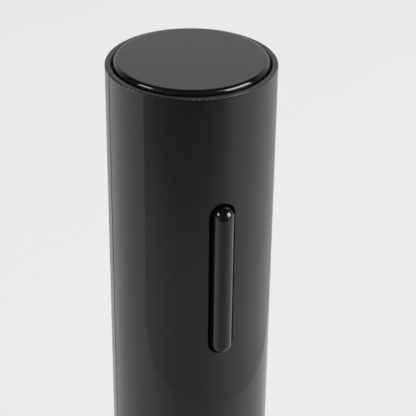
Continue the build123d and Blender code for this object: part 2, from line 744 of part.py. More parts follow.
usb_w = 8.94
usb_h = 3.2
usb_len = 7.4
charge_board_z = cell_z + cell_len + tab_t + 1.2
usb_z = charge_board_z + board_t + usb_h / 2
usb_y = body_r - 1.5 - usb_len
pipe_x = 6.9
pipe_r = 0.9
with BuildPart() as rear_shell:
    add(whole)
    with Locations((0, seam_y + seam_gap / 2 - reach / 2, 0)):
        Box(reach, reach, tall, mode=Mode.SUBTRACT)
    with BuildSketch(Plane.XY):
        Circle(shell_in_r + lip_t + lip_fit)
        with Locations((0, seam_y + lip_reach + lip_fit + reach / 2)):
            Rectangle(reach, reach, mode=Mode.SUBTRACT)
    extrude(amount=ledge_z, mode=Mode.SUBTRACT)
    for rib in (cell_z + 8.0, cell_z + cell_len - 9.6):
        with BuildSketch(Plane.XY.offset(rib)):
            Circle(shell_in_r + 0.2)
            with Locations((0, cell_y)):
                Circle(cell_r + slip_fit / 2, mode=Mode.SUBTRACT)
            with Locations((0, -body_r + cell_y + 2.0)):
                Rectangle(reach, 2 * body_r, mode=Mode.SUBTRACT)
        extrude(amount=rib_t)
    with BuildSketch(Plane.XZ.offset(-body_r - 1)):
        with Locations((0, usb_z)):
            SlotOverall(usb_w + 1.0, usb_h + 1.0)
        with Locations((pipe_x, usb_z)):
            Circle(pipe_r)
    extrude(amount=shell_wall + 2.5, mode=Mode.SUBTRACT)
finish(rear_shell, "rear_shell")

# ---------------------------------------------------------------- cap under the disc, the disc, cap screws
cap_t = ledge_depth - (disc_t - disc_proud)
with BuildPart() as cap_plate:
    with BuildSketch(Plane.XY.offset(ledge_z)):
        Circle(ledge_r - slip_fit / 2)
        with Locations(*boss_spots):
            Circle(screw_r + 0.1, mode=Mode.SUBTRACT)
    extrude(amount=cap_t)
    with BuildSketch(Plane.XY.offset(ledge_z + cap_t - head_h - 0.1)):
        with Locations(*boss_spots):
            Circle(head_r + 0.1)
    extrude(amount=head_h + 0.1, mode=Mode.SUBTRACT)
finish(cap_plate, "cap_plate")
cap_screws = screws(boss_spots, ledge_z + cap_t - head_h - 0.1, ledge_z - 7.0)
finish(cap_screws, "cap_screws")

with BuildPart() as top_disc:
    with BuildSketch(Plane.XY.offset(overall_height - disc_t)):
        Circle(disc_r)
    extrude(amount=disc_t)
    fillet(top_disc.edges().filter_by(GeomType.CIRCLE).sort_by(Axis.Z)[-1], radius=disc_round)
finish(top_disc, "top_disc")

# ---------------------------------------------------------------- rocker button and its pivot
rocker_back = flange_y - flange_t
with BuildPart() as rocker_button:
    with BuildSketch(Plane.XZ.offset(rocker_back)):
        with Locations((0, slot_z)):
            SlotOverall(rocker_len, rocker_w, rotation=90)
    extrude(amount=rocker_front - rocker_r - rocker_back)
    with Locations((0, -(rocker_front - rocker_r), slot_z)):
        Cylinder(rocker_r, rocker_len - rocker_w)
    for end in (-1, 1):
        with Locations((0, -(rocker_front - rocker_r), slot_z + end * (rocker_len - rocker_w) / 2)):
            Sphere(rocker_r)
    with BuildSketch(Plane.XZ.offset(rocker_back)):
        with Locations((0, slot_z)):
            Rectangle(2 * flange_w, 2 * slot_len)
    extrude(amount=-body_r, mode=Mode.SUBTRACT)
    with BuildSketch(Plane.XZ.offset(rocker_back)):
        with Locations((0, slot_z)):
            SlotOverall(flange_len, flange_w, rotation=90)
            Rectangle(2 * flange_w, 7.0, mode=Mode.SUBTRACT)
    extrude(amount=flange_t)
    for end in (-1, 1):
        with BuildSketch(Plane.XZ.offset(rib_y)):
            with Locations((0, slot_z + end * switch_off)):
                Rectangle(3.0, 3.0)
        extrude(amount=flange_y - rib_y)
    with BuildSketch(Plane.YZ.offset(-rocker_r)):
        with Locations((-pivot_y, slot_z)):
            Rectangle(2.6, 3.2)
    extrude(amount=rocker_w)
    with BuildSketch(Plane.YZ.offset(-flange_w)):
        with Locations((-pivot_y, slot_z)):
            Circle(pivot_r + run_fit)
    extrude(amount=2 * flange_w, mode=Mode.SUBTRACT)
finish(rocker_button, "rocker_button")

ear_in = rocker_r + 0.4
ear_t = 1.8
board_front = board_y + board_t
with BuildPart() as pivot_bracket:
    with BuildSketch(Plane.XZ.offset(board_front)):
        with Locations((0, slot_z)):
            Rectangle(2 * (ear_in + ear_t), 6.0)
    extrude(amount=0.8)
    for side in (-1, 1):
        with BuildSketch(Plane.XZ.offset(board_front)):
            with Locations((side * (ear_in + ear_t / 2), slot_z)):
                Rectangle(ear_t, 4.0)
        extrude(amount=pivot_y + pivot_r + 0.7 - board_front)
    with BuildSketch(Plane.YZ.offset(-flange_w)):
        with Locations((-pivot_y, slot_z)):
            Circle(pivot_r)
    extrude(amount=2 * flange_w, mode=Mode.SUBTRACT)
finish(pivot_bracket, "pivot_bracket")

with BuildPart() as pivot_pin:
    with BuildSketch(Plane.YZ.offset(-(ear_in + ear_t))):
        with Locations((-pivot_y, slot_z)):
            Circle(pivot_r)
    extrude(amount=2 * (ear_in + ear_t))
finish(pivot_pin, "pivot_pin")

# ---------------------------------------------------------------- control board, switches, chips
board_w = 14.0
board_low = slot_z - slot_len / 2 - 4.0
board_high = slot_z + slot_len / 2 + 10.0
with BuildPart() as control_board:
    with BuildSketch(Plane.XZ.offset(board_y)):
        with Locations((0, (board_low + board_high) / 2)):
            RectangleRounded(board_w, board_high - board_low, 1.0)
    extrude(amount=board_t)
finish(control_board, "control_board")

for name, end in (("eject_switch", 1), ("open_switch", -1)):
    with BuildPart() as switch:
        with BuildSketch(Plane.XZ.offset(board_front)):
            with Locations((0, slot_z + end * switch_off)):
                RectangleRounded(6.0, 6.0, 0.4)
        extrude(amount=switch_h)
        with BuildSketch(Plane.XZ.offset(board_front + switch_h)):
            with Locations((0, slot_z + end * switch_off)):
                Circle(1.5)
        extrude(amount=plunger_h)
    finish(switch, name)

with BuildPart() as board_chips:
    for x, z, wide, high in ((0, 16, 4.0, 5.0), (-4, 25, 3.0, 3.0), (4, 25, 3.0, 3.0), (0, 4, 5.0, 4.0)):
        with BuildSketch(Plane.XZ.offset(board_y)):
            with Locations((x, slot_z + z)):
                Rectangle(wide, high)
        extrude(amount=-1.1)
finish(board_chips, "board_chips")

# ---------------------------------------------------------------- cell, charging board, socket, light
with BuildPart() as battery_cell:
    with BuildSketch(Plane.XY.offset(cell_z)):
        with Locations((0, cell_y)):
            Circle(cell_r)
    extrude(amount=cell_len)
    fillet(battery_cell.edges().filter_by(GeomType.CIRCLE), radius=0.8)
finish(battery_cell, "battery_cell")

with BuildPart() as cell_tabs:
    for z in (cell_z - tab_t, cell_z + cell_len):
        with BuildSketch(Plane.XY.offset(z)):
            with Locations((0, cell_y - 3.0)):
                Rectangle(4.0, 2 * cell_r - 4.0)
        extrude(amount=tab_t)
finish(cell_tabs, "cell_tabs")

charge_board_len = 13.0
with BuildPart() as charge_board:
    with BuildSketch(Plane.XY.offset(charge_board_z)):
        with Locations((0, shell_in_r - 1.8 - charge_board_len / 2)):
            Rectangle(16.0, charge_board_len)
    extrude(amount=board_t)
finish(charge_board, "charge_board")

with BuildPart() as usb_socket:
    with BuildSketch(Plane.XZ.offset(-usb_y)):
        with Locations((0, usb_z)):
            SlotOverall(usb_w, usb_h)
    extrude(amount=-usb_len)
    with BuildSketch(Plane.XZ.offset(-usb_y - usb_len)):
        with Locations((0, usb_z)):
            SlotOverall(usb_w - 0.6, usb_h - 0.6)
    extrude(amount=usb_len - 1.0, mode=Mode.SUBTRACT)
finish(usb_socket, "usb_socket")

with BuildPart() as usb_tongue:
    with BuildSketch(Plane.XZ.offset(-usb_y - 1.0)):
        with Locations((0, usb_z)):
            Rectangle(6.7, 0.7)
    extrude(amount=-(usb_len - 1.9))
finish(usb_tongue, "usb_tongue")

with BuildPart() as charge_light:
    with BuildSketch(Plane.XY.offset(charge_board_z + board_t)):
        with Locations((pipe_x, shell_in_r - 4.0)):
            Rectangle(1.6, 1.6)
    extrude(amount=usb_h / 2 + 0.8)
finish(charge_light, "charge_light")

with BuildPart() as light_pipe:
    with BuildSketch(Plane.XZ.offset(-(shell_in_r - 3.0))):
        with Locations((pipe_x, usb_z)):
            Circle(pipe_r)
    extrude(amount=-(math.sqrt(body_r ** 2 - pipe_x ** 2) - shell_in_r + 2.9))
finish(light_pipe, "light_pipe")

# ---------------------------------------------------------------- insulated leads inside the shells
lead_r = 0.6


def lead(points):
    """A soft insulated lead: straight runs joined by the largest arcs that they leave room for."""
    corners = [Vector(*p) for p in points]
    radii = []
    for before, here, after in zip(corners, corners[1:], corners[2:]):
        turn = math.radians((here - before).get_angle(after - here))
        shorter = min((here - before).length, (after - here).length)
        radii.append(0.45 * shorter / math.tan(turn / 2))
    with BuildPart() as tube:
        with BuildLine() as route:
            FilletPolyline(*corners, radius=radii)
        with BuildSketch(Plane(origin=route.line @ 0, z_dir=route.line % 0)):
            Circle(lead_r)
        sweep(path=route.line)
    return tube.part


lead_x = 5.5                # each lead's solder pad, from the middle of the board
lead_pad_up = 18.0          # and from the board's lower end
lead_low = motor_top_z + terminal_up
lead_high = board_low + lead_pad_up
lead_routes = [
    [
        (side * terminal_x, -1.5, lead_low),
        (side * terminal_x, -4.0, lead_low + 0.4),
        (side * (terminal_x + lead_x) / 2, -7.5, lead_low + 0.65 * (lead_high - lead_low)),
        (side * lead_x, -10.8, lead_high),
        (side * lead_x, -board_y, lead_high),
    ]
    for side in (-1, 1)
]
lead_tubes = [lead(route) for route in lead_routes]
with BuildPart() as motor_leads:
    for tube in lead_tubes:
        add(tube)
finish(motor_leads, "motor_leads")
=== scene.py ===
import math

import bpy
from mathutils import Matrix, Vector


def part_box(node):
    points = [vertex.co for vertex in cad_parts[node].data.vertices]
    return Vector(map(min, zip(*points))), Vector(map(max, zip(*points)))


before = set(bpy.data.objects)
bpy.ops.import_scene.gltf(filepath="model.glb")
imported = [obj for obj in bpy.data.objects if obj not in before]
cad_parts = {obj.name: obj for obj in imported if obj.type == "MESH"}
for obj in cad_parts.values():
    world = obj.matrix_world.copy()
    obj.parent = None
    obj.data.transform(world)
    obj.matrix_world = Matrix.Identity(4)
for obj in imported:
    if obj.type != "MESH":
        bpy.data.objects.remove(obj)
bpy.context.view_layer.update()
mm = 0.001

# ---------------------------------------------------------------- camera
# A long lens on a stand, a little above the cap and to the left of the rocker. It looks down on the
# glossy disc, and its far reach keeps the sides of the slim body almost parallel.
rim_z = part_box("front_shell")[1].z
camera_turn = math.radians(-23.0)
camera_reach = 346.8 * mm
camera_rise = 155.6 * mm
camera_yaw = math.radians(0.796)
camera_tilt = math.radians(30.0)
camera_roll = math.radians(0.7275)
sensor_width = 36.0
lens_length = 123.63
nearest_seen = 10.0 * mm


def into_scene(name, data):
    """A new object in the scene that holds a camera, a lamp or a mesh."""
    thing = bpy.data.objects.new(name, data)
    bpy.context.scene.collection.objects.link(thing)
    return thing


def round_the_front(degrees, reach, height):
    """A point at an angle round the opener from the camera's side, at a reach from its axis."""
    turn = camera_turn + math.radians(degrees)
    return Vector((reach * math.sin(turn), -reach * math.cos(turn), height))


camera = into_scene("camera", bpy.data.cameras.new("camera"))
camera.data.sensor_width = sensor_width
camera.data.lens = lens_length
camera.data.clip_start = nearest_seen
aim = (
    Matrix.Rotation(camera_turn - camera_yaw, 4, "Z")
    @ Matrix.Rotation(math.pi / 2 - camera_tilt, 4, "X")
    @ Matrix.Rotation(camera_roll, 4, "Z")
)
stand = round_the_front(0.0, camera_reach, rim_z + camera_rise)
camera.matrix_world = Matrix.Translation(stand) @ aim
bpy.context.scene.camera = camera
bpy.context.scene.view_settings.view_transform = "Standard"

# ---------------------------------------------------------------- table top and room
# A plain pale table top that runs on behind the opener into an evenly lit pale room. In reflections
# only the wall behind is lit, up to some way over the opener, so edges that face elsewhere stay black.
room_light = 0.80
room_seen = 0.83
wall_glow = 0.76
unlit_glow = 0.05
white = (1.0, 1.0, 1.0)
wall_tint = (1.04, 0.98, 1.005)
wall_top, ceiling_edge = math.sin(math.radians(26.0)), math.sin(math.radians(42.0))
wall_inner, wall_outer = math.cos(math.radians(35.0)), math.cos(math.radians(75.0))
backward = round_the_front(180.0, 1.0, 0.0)
table_half = 4.0
table_albedo, table_roughness = 0.475, 0.9


def feed(tree, socket, value):
    """Gives a socket a number or a colour, or links another node's output to it."""
    if isinstance(value, bpy.types.NodeSocket):
        tree.links.new(value, socket)
    elif socket.type == "RGBA":
        socket.default_value = (*value, 1)
    else:
        socket.default_value = value


def map_range(tree, value, source, target=(0.0, 1.0)):
    """A value carried from one range to another; each end is a number or an output."""
    node = tree.nodes.new("ShaderNodeMapRange")
    labels = ("Value", "From Min", "From Max", "To Min", "To Max")
    for label, operand in zip(labels, (value, *source, *target)):
        feed(tree, node.inputs[label], operand)
    return node.outputs["Result"]


def blend_colour(tree, share, first, second):
    """A colour between two, by a share that changes over the surface; each is a colour or an output."""
    mix = tree.nodes.new("ShaderNodeMix")
    mix.data_type = "RGBA"
    for label, value in (("Factor", share), ("A", first), ("B", second)):
        feed(tree, mix.inputs[label], value)
    return mix.outputs["Result"]


def axis_parts(tree, vector):
    """The X, Y and Z of a vector."""
    node = tree.nodes.new("ShaderNodeSeparateXYZ")
    tree.links.new(vector, node.inputs["Vector"])
    return node.outputs


world = bpy.data.worlds.new("studio")
bpy.context.scene.world = world
world.use_nodes = True
tree = world.node_tree
rays = tree.nodes.new("ShaderNodeLightPath").outputs
direction = tree.nodes.new("ShaderNodeTexCoord").outputs["Generated"]
behind = tree.nodes.new("ShaderNodeVectorMath")
behind.operation = "DOT_PRODUCT"
behind.inputs[1].default_value = backward
tree.links.new(direction, behind.inputs[0])
wall = map_range(tree, behind.outputs["Value"], (wall_outer, wall_inner), (unlit_glow, wall_glow))
overhead = map_range(tree, axis_parts(tree, direction)["Z"], (wall_top, ceiling_edge), (wall, unlit_glow))
reflected = map_range(tree, rays["Is Glossy Ray"], (0.0, 1.0), (room_light, overhead))
room = tree.nodes["Background"].inputs
feed(tree, room["Strength"], map_range(tree, rays["Is Camera Ray"], (0.0, 1.0), (reflected, room_seen)))
feed(tree, room["Color"], blend_colour(tree, rays["Is Glossy Ray"], white, wall_tint))


def flat_card(name, corners):
    """A plain flat or bent sheet through pairs of low and high corners."""
    sheet = bpy.data.meshes.new(name)
    points = [point for pair in corners for point in pair]
    faces = [(2 * k, 2 * k + 2, 2 * k + 3, 2 * k + 1) for k in range(len(corners) - 1)]
    sheet.from_pydata(points, [], faces)
    card = into_scene(name, sheet)
    return card


def stage_material(name, albedo, roughness):
    """A plain matt finish for the studio's own surfaces."""
    material = bpy.data.materials.new(name)
    material.use_nodes = True
    shader = material.node_tree.nodes["Principled BSDF"].inputs
    shader["Base Color"].default_value = (albedo, albedo, albedo, 1)
    shader["Roughness"].default_value = roughness
    shader["Specular IOR Level"].default_value = 0.0
    return material


table_rows = [((-table_half, y, 0), (table_half, y, 0)) for y in (table_half, -table_half)]
table = flat_card("table_top", table_rows)
table.data.materials.append(stage_material("table_paper", table_albedo, table_roughness))

# ---------------------------------------------------------------- softboxes, and sheets of painted light and shade
# Two wide softboxes stand left and right of the camera. A dark sheet of painted shade hangs across the
# camera's side in place of the unlit room, and paper painted with light and shade by angle lies on the
# table all round; both are seen only in reflections, so they shade nothing.
lamp_reach = 6.0
lamp_glow = 11.0


def softbox(name, degrees, rise, wide, high):
    """A softbox round from the camera's side and up from the rim; its width and height are angles too."""
    lift = math.radians(rise)
    place = round_the_front(degrees, lamp_reach * math.cos(lift), lamp_reach * math.sin(lift))
    glow = bpy.data.lights.new(name, "AREA")
    glow.shape = "RECTANGLE"
    glow.size = 2 * lamp_reach * math.tan(math.radians(wide / 2))
    glow.size_y = 2 * lamp_reach * math.tan(math.radians(high / 2))
    glow.energy = lamp_glow * math.pi * glow.size * glow.size_y
    facing = place.to_track_quat("Z", "Y").to_matrix().to_4x4()
    into_scene(name, glow).matrix_world = Matrix.Translation(place + Vector((0, 0, rim_z))) @ facing


softbox("left_softbox", degrees=-66.0, rise=29.0, wide=32.0, high=18.0)
softbox("right_softbox", degrees=70.0, rise=27.4, wide=46.0, high=34.0)

# Painted light and shade in reflections: how bright the paper is painted at angles round from the camera's
# side, and how much darker the hanging sheet of painted shade is.
glow_in_front = {-15: 0.46, 15: 0.46}
glow_at_sides = {-130: 1.25, -80: 1.00, 60: 0.76, 105: 1.08}
glow_behind = {-180: 0.75, -160: 0.80, 180: 1.08}
glow_round = {**glow_in_front, **glow_at_sides, **glow_behind}
painted_shade_drop = 0.30
# Paper of this albedo looks this bright in the room's light, and it is a little warm.
paper_albedo, paper_glow = 0.45, 0.83
paper_tint = (1.04, 0.98, 1.015)
paper_near, paper_far, paper_z = 0.028, 1.6, 0.5 * mm
cloth_left, cloth_right, cloth_reach = -60.0, 50.0, 0.36
cloth_foot, cloth_top = 1.0 * mm, 0.5
turn_step = 5.0


def glow_at(degrees):
    """How bright the table looks in reflections: dim straight in front, bright at the sides and behind."""
    stops = sorted(glow_round)
    before = max(stop for stop in stops[:-1] if stop <= degrees)
    after = min(stop for stop in stops if stop > before)
    share = (degrees - before) / (after - before)
    return glow_round[before] + (glow_round[after] - glow_round[before]) * share


def reflected_card(name, angles, low, high, shade):
    """A card round the opener that only reflections see; low and high are (reach, height) of its edges."""
    corners = [(round_the_front(angle, *low), round_the_front(angle, *high)) for angle in angles]
    card = flat_card(name, corners)
    tint = card.data.color_attributes.new("shade", "FLOAT_COLOR", "POINT")
    for k, angle in enumerate(angles):
        # Painted light and shade: the card's grey at each angle stands in for how brightly the room is lit
        # there.
        albedo = shade(angle) * paper_albedo / paper_glow
        for point in (2 * k, 2 * k + 1):
            tint.data[point].color = (*(albedo * share for share in paper_tint), 1)
    finish = stage_material(name, albedo=1.0, roughness=1.0)
    tree = finish.node_tree
    reader = tree.nodes.new("ShaderNodeVertexColor")
    reader.layer_name = "shade"
    tree.links.new(reader.outputs["Color"], tree.nodes["Principled BSDF"].inputs["Base Color"])
    card.data.materials.append(finish)
    card.visible_camera = False
    card.visible_diffuse = False
    card.visible_shadow = False
    card.visible_transmission = False


all_round = [-180.0 + turn_step * k for k in range(int(360 / turn_step) + 1)]
across_front = [angle for angle in all_round if cloth_left <= angle <= cloth_right]
# The paper on the table is painted light: its grey, set by angle, stands in for the lit and unlit parts of
# the room.
reflected_card("painted_light_paper", all_round, (paper_near, paper_z), (paper_far, paper_z), glow_at)
# The hanging sheet is painted shade: its dark grey stands in for the unlit room on the camera's side.
reflected_card(
    "painted_shade_sheet",
    across_front,
    (cloth_reach, cloth_foot),
    (cloth_reach, cloth_top),
    lambda angle: glow_at(angle) - painted_shade_drop,
)

# ---------------------------------------------------------------- half shells
# Two injection-moulded half shells, held by screws through the gearbox base and the cap plate. Their
# black soft-touch coat is matt with a very fine grain, shines at a flat angle, and picks up some dust.
shell_dark, shell_light = (0.0034, 0.0034, 0.0036), (0.0046, 0.0045, 0.0047)
shell_worn = (0.012, 0.012, 0.012)
speck_grey = (0.16, 0.16, 0.15)
broad_scale = 90.0
wear_scale, wear_gain, wear_samples = 700.0, 8.0, 4


def new_group(name, inputs, outputs):
    """An empty shader node group with its named inputs and outputs, and its two end nodes."""
    tree = bpy.data.node_groups.new(name, "ShaderNodeTree")
    for label, value in inputs.items():
        kind = "NodeSocketColor" if isinstance(value, tuple) else "NodeSocketFloat"
        socket = tree.interface.new_socket(label, in_out="INPUT", socket_type=kind)
        socket.default_value = (*value, 1) if isinstance(value, tuple) else value
    for label, kind in outputs.items():
        tree.interface.new_socket(label, in_out="OUTPUT", socket_type=kind)
    return tree, tree.nodes.new("NodeGroupInput").outputs, tree.nodes.new("NodeGroupOutput").inputs


def maths(tree, operation, *operands, clamp=False):
    """A Math node's result; each operand is a number or another node's output."""
    node = tree.nodes.new("ShaderNodeMath")
    node.operation = operation
    node.use_clamp = clamp
    for socket, operand in zip(node.inputs, operands):
        feed(tree, socket, operand)
    return node.outputs[0]


def own_place(tree):
    """Each point's place in its piece's own coordinates, in metres."""
    return tree.nodes.new("ShaderNodeTexCoord").outputs["Object"]


def noise(tree, scale, detail=3.0, stretch=None):
    """Noise in the piece's own coordinates; scale is a number or an output, stretch scales each axis."""
    place = own_place(tree)
    if stretch:
        mapping = tree.nodes.new("ShaderNodeMapping")
        mapping.inputs["Scale"].default_value = stretch
        tree.links.new(place, mapping.inputs["Vector"])
        place = mapping.outputs["Vector"]
    node = tree.nodes.new("ShaderNodeTexNoise")
    for label, value in (("Vector", place), ("Scale", scale), ("Detail", detail)):
        feed(tree, node.inputs[label], value)
    return node.outputs["Fac"]


def bump(tree, height, depth):
    """The normal of a surface that a height from 0 to 1 raises by up to a depth."""
    node = tree.nodes.new("ShaderNodeBump")
    feed(tree, node.inputs["Height"], height)
    feed(tree, node.inputs["Distance"], depth)
    return node.outputs["Normal"]


def unevenly(tree, given, pattern):
    """The group's Roughness, spread about its middle by a pattern."""
    offset = maths(tree, "MULTIPLY", maths(tree, "SUBTRACT", pattern, 0.5), given["Spread"])
    return maths(tree, "ADD", given["Roughness"], offset)


def make_grain():
    """Fine moulded or sprayed grain: a bump and a small spread of roughness."""
    inputs = {"Scale": 9000.0, "Depth": 0.01 * mm, "Roughness": 0.4, "Spread": 0.1}
    outputs = {"Roughness": "NodeSocketFloat", "Normal": "NodeSocketVector"}
    tree, given, out = new_group("moulded_grain", inputs, outputs)
    fine = noise(tree, given["Scale"])
    both = maths(tree, "ADD", fine, noise(tree, broad_scale))
    feed(tree, out["Roughness"], unevenly(tree, given, maths(tree, "MULTIPLY", both, 0.5)))
    feed(tree, out["Normal"], bump(tree, fine, given["Depth"]))
    return tree


def make_edge_wear():
    """A mask that is 1 along worn outer edges and 0 on open faces."""
    inputs = {"Width": 0.3 * mm, "Amount": 1.0}
    tree, given, out = new_group("edge_wear", inputs, {"Mask": "NodeSocketFloat"})
    bevel = tree.nodes.new("ShaderNodeBevel")
    bevel.samples = wear_samples
    feed(tree, bevel.inputs["Radius"], given["Width"])
    facing = tree.nodes.new("ShaderNodeVectorMath")
    facing.operation = "DOT_PRODUCT"
    feed(tree, facing.inputs[0], bevel.outputs["Normal"])
    feed(tree, facing.inputs[1], tree.nodes.new("ShaderNodeNewGeometry").outputs["Normal"])
    bend = maths(tree, "SUBTRACT", 1.0, facing.outputs["Value"])
    rubbed = maths(tree, "MULTIPLY", bend, maths(tree, "MULTIPLY", noise(tree, wear_scale), wear_gain))
    feed(tree, out["Mask"], maths(tree, "MULTIPLY", rubbed, given["Amount"], clamp=True))
    return tree


def make_dust():
    """A mask of small scattered specks; Share is the part of the cells that hold one."""
    inputs = {"Scale": 420.0, "Size": 0.07, "Share": 0.1}
    tree, given, out = new_group("dust", inputs, {"Mask": "NodeSocketFloat"})
    cells = tree.nodes.new("ShaderNodeTexVoronoi")
    feed(tree, cells.inputs["Vector"], own_place(tree))
    feed(tree, cells.inputs["Scale"], given["Scale"])
    speck = maths(tree, "LESS_THAN", cells.outputs["Distance"], given["Size"])
    draw = tree.nodes.new("ShaderNodeSeparateColor")
    feed(tree, draw.inputs["Color"], cells.outputs["Color"])
    chosen = maths(tree, "LESS_THAN", draw.outputs["Red"], given["Share"])
    feed(tree, out["Mask"], maths(tree, "MULTIPLY", speck, chosen))
    return tree


grain = make_grain()
edge_wear = make_edge_wear()
dust = make_dust()


def new_material(name, **sockets):
    """A material with its Principled shader; words name sockets, such as Coat_Weight=0.1."""
    material = bpy.data.materials.new(name)
    material.use_nodes = True
    tree = material.node_tree
    shader = tree.nodes["Principled BSDF"].inputs
    for label, value in sockets.items():
        shader[label.replace("_", " ")].default_value = value
    return material, tree, shader


def place_group(tree, group, **values):
    """A shared effect placed in a material with this material's own values."""
    node = tree.nodes.new("ShaderNodeGroup")
    node.node_tree = group
    for label, value in values.items():
        feed(tree, node.inputs[label], value)
    return node.outputs


def grained(tree, shader, **values):
    """The moulded grain on a material's whole surface, as roughness and as bump."""
    skin = place_group(tree, grain, **values)
    feed(tree, shader["Roughness"], skin["Roughness"])
    feed(tree, shader["Normal"], skin["Normal"])


def cover(material, *names):
    """Gives CAD nodes this material in their own slot."""
    for name in names:
        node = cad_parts[name]
        node.data.materials.clear()
        node.data.materials.append(material)


soft_touch, tree, shader = new_material("soft_touch_black", IOR=1.5)
clouds = blend_colour(tree, noise(tree, scale=60.0), shell_dark, shell_light)
wear = place_group(tree, edge_wear, Width=0.20 * mm, Amount=0.35)["Mask"]
specks = place_group(tree, dust, Scale=260.0, Size=0.035, Share=0.10)["Mask"]
worn = blend_colour(tree, wear, clouds, shell_worn)
feed(tree, shader["Base Color"], blend_colour(tree, specks, worn, speck_grey))
grained(tree, shader, Scale=11000.0, Depth=0.0025 * mm, Roughness=0.27, Spread=0.08)
cover(soft_touch, "front_shell", "rear_shell")

# ---------------------------------------------------------------- top disc and rocker button
# Both are polished piano-black mouldings: the disc covers the cap plate's screws, and the rocker tips on
# a steel pin. Handling leaves faint smears that dull the shine, and the gloss shows specks of dust.
gloss_black = (0.0025, 0.0025, 0.0027)
smear_streaks = (1.0, 0.25, 0.6)
smear_gain = 1.6
smear_start, smear_full = 0.25, 0.55


def make_smears():
    """Slow uneven dulling left by fingers, from Clean to Dull roughness."""
    inputs = {"Clean": 0.03, "Dull": 0.1}
    tree, given, out = new_group("smears", inputs, {"Roughness": "NodeSocketFloat"})
    broad = noise(tree, scale=110.0, detail=5.0)
    streaks = noise(tree, scale=300.0, detail=2.0, stretch=smear_streaks)
    smeared = maths(tree, "MULTIPLY", broad, maths(tree, "MULTIPLY", streaks, smear_gain))
    share = map_range(tree, smeared, (smear_start, smear_full))
    span = maths(tree, "SUBTRACT", given["Dull"], given["Clean"])
    feed(tree, out["Roughness"], maths(tree, "MULTIPLY_ADD", share, span, given["Clean"]))
    return tree


smears = make_smears()
piano, tree, shader = new_material("piano_black", IOR=1.5)
specks = place_group(tree, dust, Scale=330.0, Size=0.04, Share=0.08)["Mask"]
feed(tree, shader["Base Color"], blend_colour(tree, specks, gloss_black, speck_grey))
feed(tree, shader["Roughness"], place_group(tree, smears, Clean=0.04, Dull=0.10)["Roughness"])
orange_peel = noise(tree, scale=900.0, detail=1.0)
feed(tree, shader["Normal"], bump(tree, orange_peel, depth=0.001 * mm))
cover(piano, "top_disc", "rocker_button")

# ---------------------------------------------------------------- neck guide
# The black collar that slides over the bottle is one nylon moulding that plugs into the foot of the
# sleeve. Its fine spark-eroded skin is polished by bottle necks along its foot and bore.
collar_dark, collar_light = (0.010, 0.010, 0.0105), (0.014, 0.014, 0.0145)
collar_polished = (0.035, 0.035, 0.036)
collar, tree, shader = new_material("collar_nylon", IOR=1.5)
clouds = blend_colour(tree, noise(tree, scale=140.0), collar_dark, collar_light)
wear = place_group(tree, edge_wear, Width=0.5 * mm, Amount=0.8)["Mask"]
feed(tree, shader["Base Color"], blend_colour(tree, wear, clouds, collar_polished))
grained(tree, shader, Scale=5200.0, Depth=0.005 * mm, Roughness=0.44, Spread=0.14)
cover(collar, "neck_guide")

# ---------------------------------------------------------------- clear sleeve
# The window round the worm is a clear polycarbonate moulding with a smoke tint, screwed up to the
# gearbox base. Its walls show light flow lines, and rubbing leaves hair-fine scratches up and down.
smoke_thin, smoke_thick = (0.60, 0.60, 0.615), (0.55, 0.55, 0.565)
scratch_run, flow_run = (1.0, 1.0, 0.02), (1.0, 1.0, 0.3)
scratch_start, scratch_full = 0.50, 0.75
clear_rough, scratched_rough = 0.02, 0.16
smoked, tree, shader = new_material("smoked_polycarbonate", IOR=1.585, Transmission_Weight=1.0)
feed(tree, shader["Base Color"], blend_colour(tree, noise(tree, scale=45.0), smoke_thin, smoke_thick))
scratches = noise(tree, scale=900.0, detail=4.0, stretch=scratch_run)
rubbed = map_range(tree, scratches, (scratch_start, scratch_full), (clear_rough, scratched_rough))
feed(tree, shader["Roughness"], rubbed)
flow = noise(tree, scale=120.0, detail=1.0, stretch=flow_run)
feed(tree, shader["Normal"], bump(tree, flow, depth=0.004 * mm))
cover(smoked, "clear_sleeve")

# ---------------------------------------------------------------- corkscrew worm
# The worm is a hardened steel wire wound to a right-hand coil, ground to a point, pressed into its hub
# and dipped in a dark non-stick coat. The coat has worn to bare steel towards the point.
worm_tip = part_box("corkscrew")[0].z
coat_colour, bare_steel = (0.030, 0.030, 0.032), (0.52, 0.52, 0.54)
bare_length = 7.0 * mm
bare_from = 0.33
worm_coat, tree, shader = new_material("worm_coating", IOR=1.45)
near_tip = map_range(tree, axis_parts(tree, own_place(tree))["Z"], (worm_tip + bare_length, worm_tip))
patchy = maths(tree, "MULTIPLY", near_tip, noise(tree, scale=900.0, detail=5.0))
bare = maths(tree, "GREATER_THAN", patchy, bare_from)
feed(tree, shader["Base Color"], blend_colour(tree, bare, coat_colour, bare_steel))
feed(tree, shader["Metallic"], bare)
grained(tree, shader, Scale=5200.0, Depth=0.004 * mm, Roughness=0.30, Spread=0.20)
cover(worm_coat, "corkscrew")

# ---------------------------------------------------------------- black nylon mouldings
# The hub that grips the worm, the gearbox base, the cap plate, the rocker's bracket and the motor's
# end bell are glass-filled nylon, with pale fibres that just show in the skin.
nylon_black, fibre_grey, nylon_worn = (0.013, 0.013, 0.0135), (0.045, 0.045, 0.045), (0.05, 0.05, 0.05)
fibre_run = (1.0, 0.2, 1.0)
fibre_start, fibre_full = 0.60, 0.80
nylon, tree, shader = new_material("glass_filled_nylon", IOR=1.53)
fibres = noise(tree, scale=2600.0, detail=2.0, stretch=fibre_run)
shown_fibres = map_range(tree, fibres, (fibre_start, fibre_full))
fibred = blend_colour(tree, shown_fibres, nylon_black, fibre_grey)
wear = place_group(tree, edge_wear, Width=0.3 * mm, Amount=0.7)["Mask"]
feed(tree, shader["Base Color"], blend_colour(tree, wear, fibred, nylon_worn))
grained(tree, shader, Scale=3600.0, Depth=0.008 * mm, Roughness=0.52, Spread=0.15)
cover(nylon, "worm_hub", "gearbox_base", "cap_plate", "pivot_bracket", "motor_end_bell")

